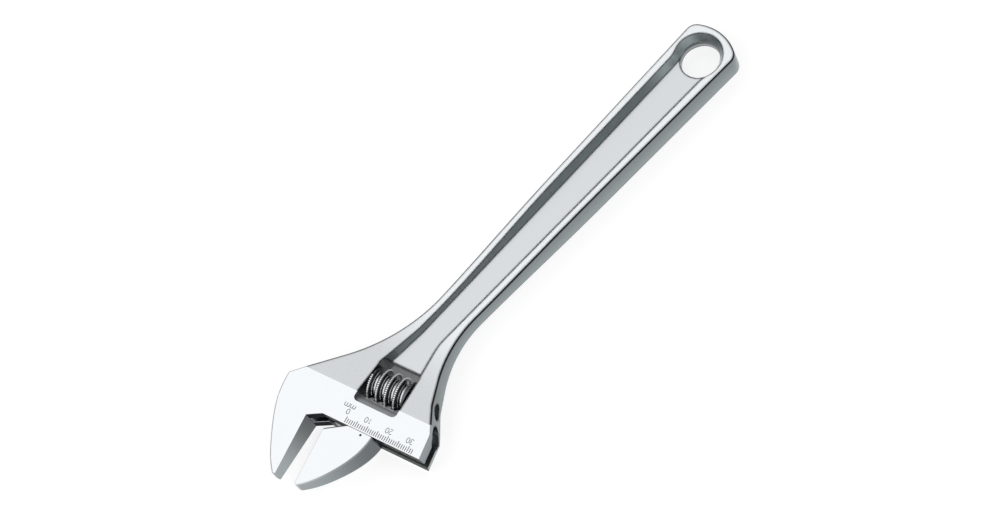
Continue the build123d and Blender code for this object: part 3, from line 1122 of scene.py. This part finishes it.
def arc(centre: Pair, size: Pair, start: float, end: float) -> list[Pair]:
    """Draw a part of an ellipse.

    Args:
        centre: The ellipse's centre.
        size: Its two half widths.
        start: The first angle in degrees.
        end: The last angle in degrees.

    Returns:
        Points along the curve.
    """
    steps = max(LEAST_ARC_STEPS, int(abs(end - start) / ARC_STEP))
    angles = [math.radians(start + (end - start) * step / steps) for step in range(steps + 1)]
    return [(centre[0] + size[0] * math.cos(a), centre[1] + size[1] * math.sin(a)) for a in angles]


class Label(NamedTuple):
    """A number or unit on the scale: its text, its middle in the head frame and its signs' step."""

    text: str
    along: float
    across: float
    step: float


@dataclass
class HeadScale:
    """The millimetre scale on the head's face: marks and plain numbers."""

    zero_along: float = 0.5
    zero_across: float = -16.5
    mark_count: int = 33
    mark_pitch: float = 1.0
    mark_length: float = 2.0
    long_factor: float = 1.3
    long_every: int = 5
    mark_width: float = 0.32
    fill_height: float = 0.04
    stroke_width: float = 0.24
    stroke_join: float = 0.001
    digit_height: float = 2.2
    labels: tuple[Label, ...] = (
        Label("mm", 7.6, -15.0, 2.75),
        Label("0", 5.05, -15.6, 1.75),
        Label("10", 5.15, -25.3, 1.75),
        Label("20", 4.95, -35.5, 1.75),
        Label("30", 4.95, -45.5, 1.75),
    )
    finishes: tuple[Finish, ...] = (Finish.MARK,)

    @cached_property
    def signs(self) -> dict[str, list[list[Pair]]]:
        """Draw the strokes of each sign, one unit tall and centred.

        Returns:
            The strokes by sign, each a row of points.
        """
        return {
            "0": [arc((0.0, 0.0), (0.29, 0.5), 0.0, 360.0)],
            "1": [[(-0.14, 0.32), (0.06, 0.5), (0.06, -0.5)]],
            "2": [arc((0.0, 0.22), (0.28, 0.28), 165.0, -28.0) + [(-0.29, -0.5), (0.3, -0.5)]],
            "3": [
                arc((-0.02, 0.25), (0.26, 0.25), 150.0, -90.0)
                + arc((-0.02, -0.25), (0.3, 0.25), 90.0, -150.0)
            ],
            "m": [
                [(-0.5, 0.36), (-0.5, -0.36)],
                [(-0.5, 0.12)] + arc((-0.25, 0.12), (0.25, 0.24), 180.0, 0.0) + [(0.0, -0.36)],
                [(0.0, 0.12)] + arc((0.25, 0.12), (0.25, 0.24), 180.0, 0.0) + [(0.5, -0.36)],
            ],
        }

    def marks_mesh(self) -> Mesh:
        """Build the row of marks.

        Returns:
            The mesh of all marks.
        """
        tree = GeometrySketch(
            "scale_marks",
            {
                "Mark Pitch": self.mark_pitch,
                "Mark Length": self.mark_length,
                "Mark Width": self.mark_width,
                "Fill Height": self.fill_height,
                "Long Factor": self.long_factor,
                "Long Every": self.long_every,
                "Marks": self.mark_count,
            },
        )
        entry = tree.entry
        step = tree.vector(0.0, tree.math("MULTIPLY", entry["Mark Pitch"], -1.0), 0.0)
        line = {"Count": entry["Marks"], "Offset": step}
        row = tree.result("GeometryNodeMeshLine", line, mode="OFFSET")
        size = tree.vector(entry["Mark Length"], entry["Mark Width"], entry["Fill Height"])
        bar = tree.result("GeometryNodeMeshCube", {"Size": size})
        shift = tree.vector(tree.math("MULTIPLY", entry["Mark Length"], 0.5))
        bar = tree.result("GeometryNodeTransform", {"Geometry": bar, "Translation": shift})
        left = tree.math("MODULO", tree.result("GeometryNodeInputIndex"), entry["Long Every"])
        is_long = tree.math("LESS_THAN", left, 0.5)
        extra = tree.math("SUBTRACT", entry["Long Factor"], 1.0)
        stretch = tree.vector(tree.math("MULTIPLY_ADD", is_long, extra, 1.0), 1.0, 1.0)
        marks = tree.result(
            "GeometryNodeInstanceOnPoints", {"Points": row, "Instance": bar, "Scale": stretch}
        )
        spot = Matrix.Translation((self.zero_along, self.zero_across, HEAD.face))
        return tree.mesh(marks, HEAD.matrix() @ spot)

    def stroke_lines(self) -> Mesh:
        """Lay the strokes of all labels out on the face.

        Returns:
            A mesh of edges in the head frame's millimetres.
        """
        points: list[Triple] = []
        edges: list[tuple[int, int]] = []
        for label in self.labels:
            for number, sign in enumerate(label.text):
                across = label.across + (number - (len(label.text) - 1) / 2.0) * label.step
                for stroke in self.signs[sign]:
                    first = len(points)
                    last = first + len(stroke) - 1
                    edges += [(point, point + 1) for point in range(first, last)]
                    for right, up in stroke:
                        along = label.along - up * self.digit_height
                        points.append((along, across + right * self.digit_height, 0.0))
        mesh = bpy.data.meshes.new("scale_strokes")
        mesh.from_pydata(points, edges, [])
        return mesh

    def numbers_mesh(self) -> Mesh:
        """Build the numbers as flat strokes.

        Returns:
            The mesh of all signs.
        """
        tree = GeometrySketch(
            "scale_numbers", {"Stroke Width": self.stroke_width, "Fill Height": self.fill_height}
        )
        entry = tree.entry
        merged = tree.result(
            "GeometryNodeMergeByDistance", {"Geometry": entry["Geometry"], "Distance": self.stroke_join}
        )
        lines = tree.result("GeometryNodeMeshToCurve", {0: merged})
        section = tree.result(
            "GeometryNodeCurvePrimitiveQuadrilateral",
            {"Width": entry["Stroke Width"], "Height": entry["Fill Height"]},
        )
        flat = tree.result("GeometryNodeSetCurveNormal", {"Curve": lines}, mode="Z_UP")
        strokes = tree.result(
            "GeometryNodeCurveToMesh", {"Curve": flat, "Profile Curve": section, "Fill Caps": True}
        )
        spot = HEAD.matrix() @ Matrix.Translation((0.0, 0.0, HEAD.face))
        return tree.mesh(strokes, spot, self.stroke_lines())

    def build(self) -> None:
        """Build the marks and the numbers."""
        Piece("scale_marks", self.marks_mesh(), Body.WRENCH, Slot.BODY, self.finishes)
        Piece("scale_numbers", self.numbers_mesh(), Body.WRENCH, Slot.BODY, self.finishes)


@dataclass
class Studio:
    """The plain pale floor, the soft light from above and the camera of the photograph.

    Lengths are in metres and angles in degrees. A painted shadow dims the floor's glow below the worm's
    window, and the light changes with the direction that it comes from.
    """

    floor_height: float = -0.0079
    floor_reach: float = 2.5
    floor_color: Triple = (0.36, 0.36, 0.36)
    floor_glow: float = 0.74
    # a painted shadow on the floor below the worm's window
    shade_spot: Pair = (-0.18, 0.002)
    shade_span: Pair = (0.0105, 0.014)
    shade_level: float = 0.08
    sky_span: Pair = (0.2, 0.75)
    sky_levels: Pair = (1.14, 0.62)
    horizon_span: Pair = (-0.3, 0.6)
    horizon_levels: Pair = (0.3, 0.4)
    west_span: Pair = (-0.8, -0.5)
    west_level: float = 1.0
    rise_span: Pair = (0.46, 0.7)
    camera_spot: Triple = (-0.268661, -0.575485, 1.091199)
    camera_turn: Triple = (24.69528, 15.16912, -44.46394)
    camera_reach: Pair = (0.05, 20.0)
    focal_pixels: float = 3098.8
    image_width: int = 1000
    sensor_width: float = 36.0

    def floor(self) -> None:
        """Lay the floor."""
        reach = self.floor_reach
        corners = [(-reach, -reach), (reach, -reach), (reach, reach), (-reach, reach)]
        sheet = bpy.data.meshes.new("floor")
        sheet.from_pydata([(x, y, self.floor_height) for x, y in corners], [], [(0, 1, 2, 3)])
        sketch = MaterialSketch("pale_floor")
        matt = sketch.result("ShaderNodeBsdfDiffuse", {"Color": (*self.floor_color, 1.0)})
        path = sketch.add("ShaderNodeLightPath").outputs
        seen = sketch.math("MAXIMUM", path["Is Camera Ray"], path["Is Glossy Ray"])
        seen = sketch.math("MAXIMUM", seen, path["Is Transmission Ray"])
        # painted shadow: the glow falls to the shade level near a spot below the worm's window
        middle = (*self.shade_spot, self.floor_height)
        away = sketch.add("ShaderNodeVectorMath", {0: sketch.spot, 1: middle}, operation="DISTANCE")
        levels = (self.shade_level, self.floor_glow)
        glow = sketch.math("MULTIPLY", seen, sketch.ease(away.outputs["Value"], self.shade_span, levels))
        white = sketch.result("ShaderNodeEmission", {"Color": (*WHITE, 1.0), "Strength": glow})
        sheet.materials.append(sketch.close(sketch.result("ShaderNodeAddShader", {0: matt, 1: white})))
        thing = add_object("floor", sheet)

    def light(self) -> None:
        """Make the dome of soft light: bright overhead and dim near the horizon."""
        world = bpy.data.worlds.new("studio")
        world.use_nodes = True
        bpy.context.scene.world = world
        sketch = Sketch(world.node_tree)
        toward = sketch.add("ShaderNodeTexCoord").outputs["Generated"]
        x, y, z = sketch.add("ShaderNodeSeparateXYZ", {0: toward}).outputs
        sky = sketch.ease(x, self.sky_span, self.sky_levels)
        horizon = sketch.ease(y, self.horizon_span, self.horizon_levels)
        west = sketch.ease(x, self.west_span, (self.west_level, 0.0))
        horizon = sketch.math("MAXIMUM", horizon, west)
        rise = sketch.ease(z, self.rise_span, (0.0, 1.0))
        gain = sketch.math("SUBTRACT", sky, horizon)
        level = sketch.math("MULTIPLY_ADD", rise, gain, horizon)
        glow = sketch.result("ShaderNodeBackground", {"Color": (*WHITE, 1.0), "Strength": level})
        sketch.add("ShaderNodeOutputWorld", {0: glow})

    def camera(self) -> None:
        """Set the camera at the photograph's viewing angle."""
        lens = bpy.data.cameras.new("camera")
        lens.sensor_fit = "HORIZONTAL"
        lens.sensor_width = self.sensor_width
        lens.lens = self.focal_pixels / self.image_width * self.sensor_width
        lens.clip_start, lens.clip_end = self.camera_reach
        thing = add_object("camera", lens)
        turn = Euler([math.radians(angle) for angle in self.camera_turn])
        thing.matrix_world = Matrix.Translation(self.camera_spot) @ turn.to_matrix().to_4x4()
        bpy.context.scene.camera = thing

    def build(self) -> None:
        """Build the floor, the light and the camera."""
        self.floor()
        self.light()
        self.camera()
        bpy.context.scene.view_settings.view_transform = "Standard"


def main() -> None:
    """Build every piece of the wrench and the studio around it."""
    logging.basicConfig(level=logging.INFO, format="%(name)s: %(message)s")
    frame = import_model()
    nodes = frame["nodes"]
    Forging().build(nodes)
    HeadScale().build()
    SlidingJaw().build(nodes)
    Worm().build()
    WormMount().build(nodes)
    Studio().build()


if __name__ == "__main__":
    main()
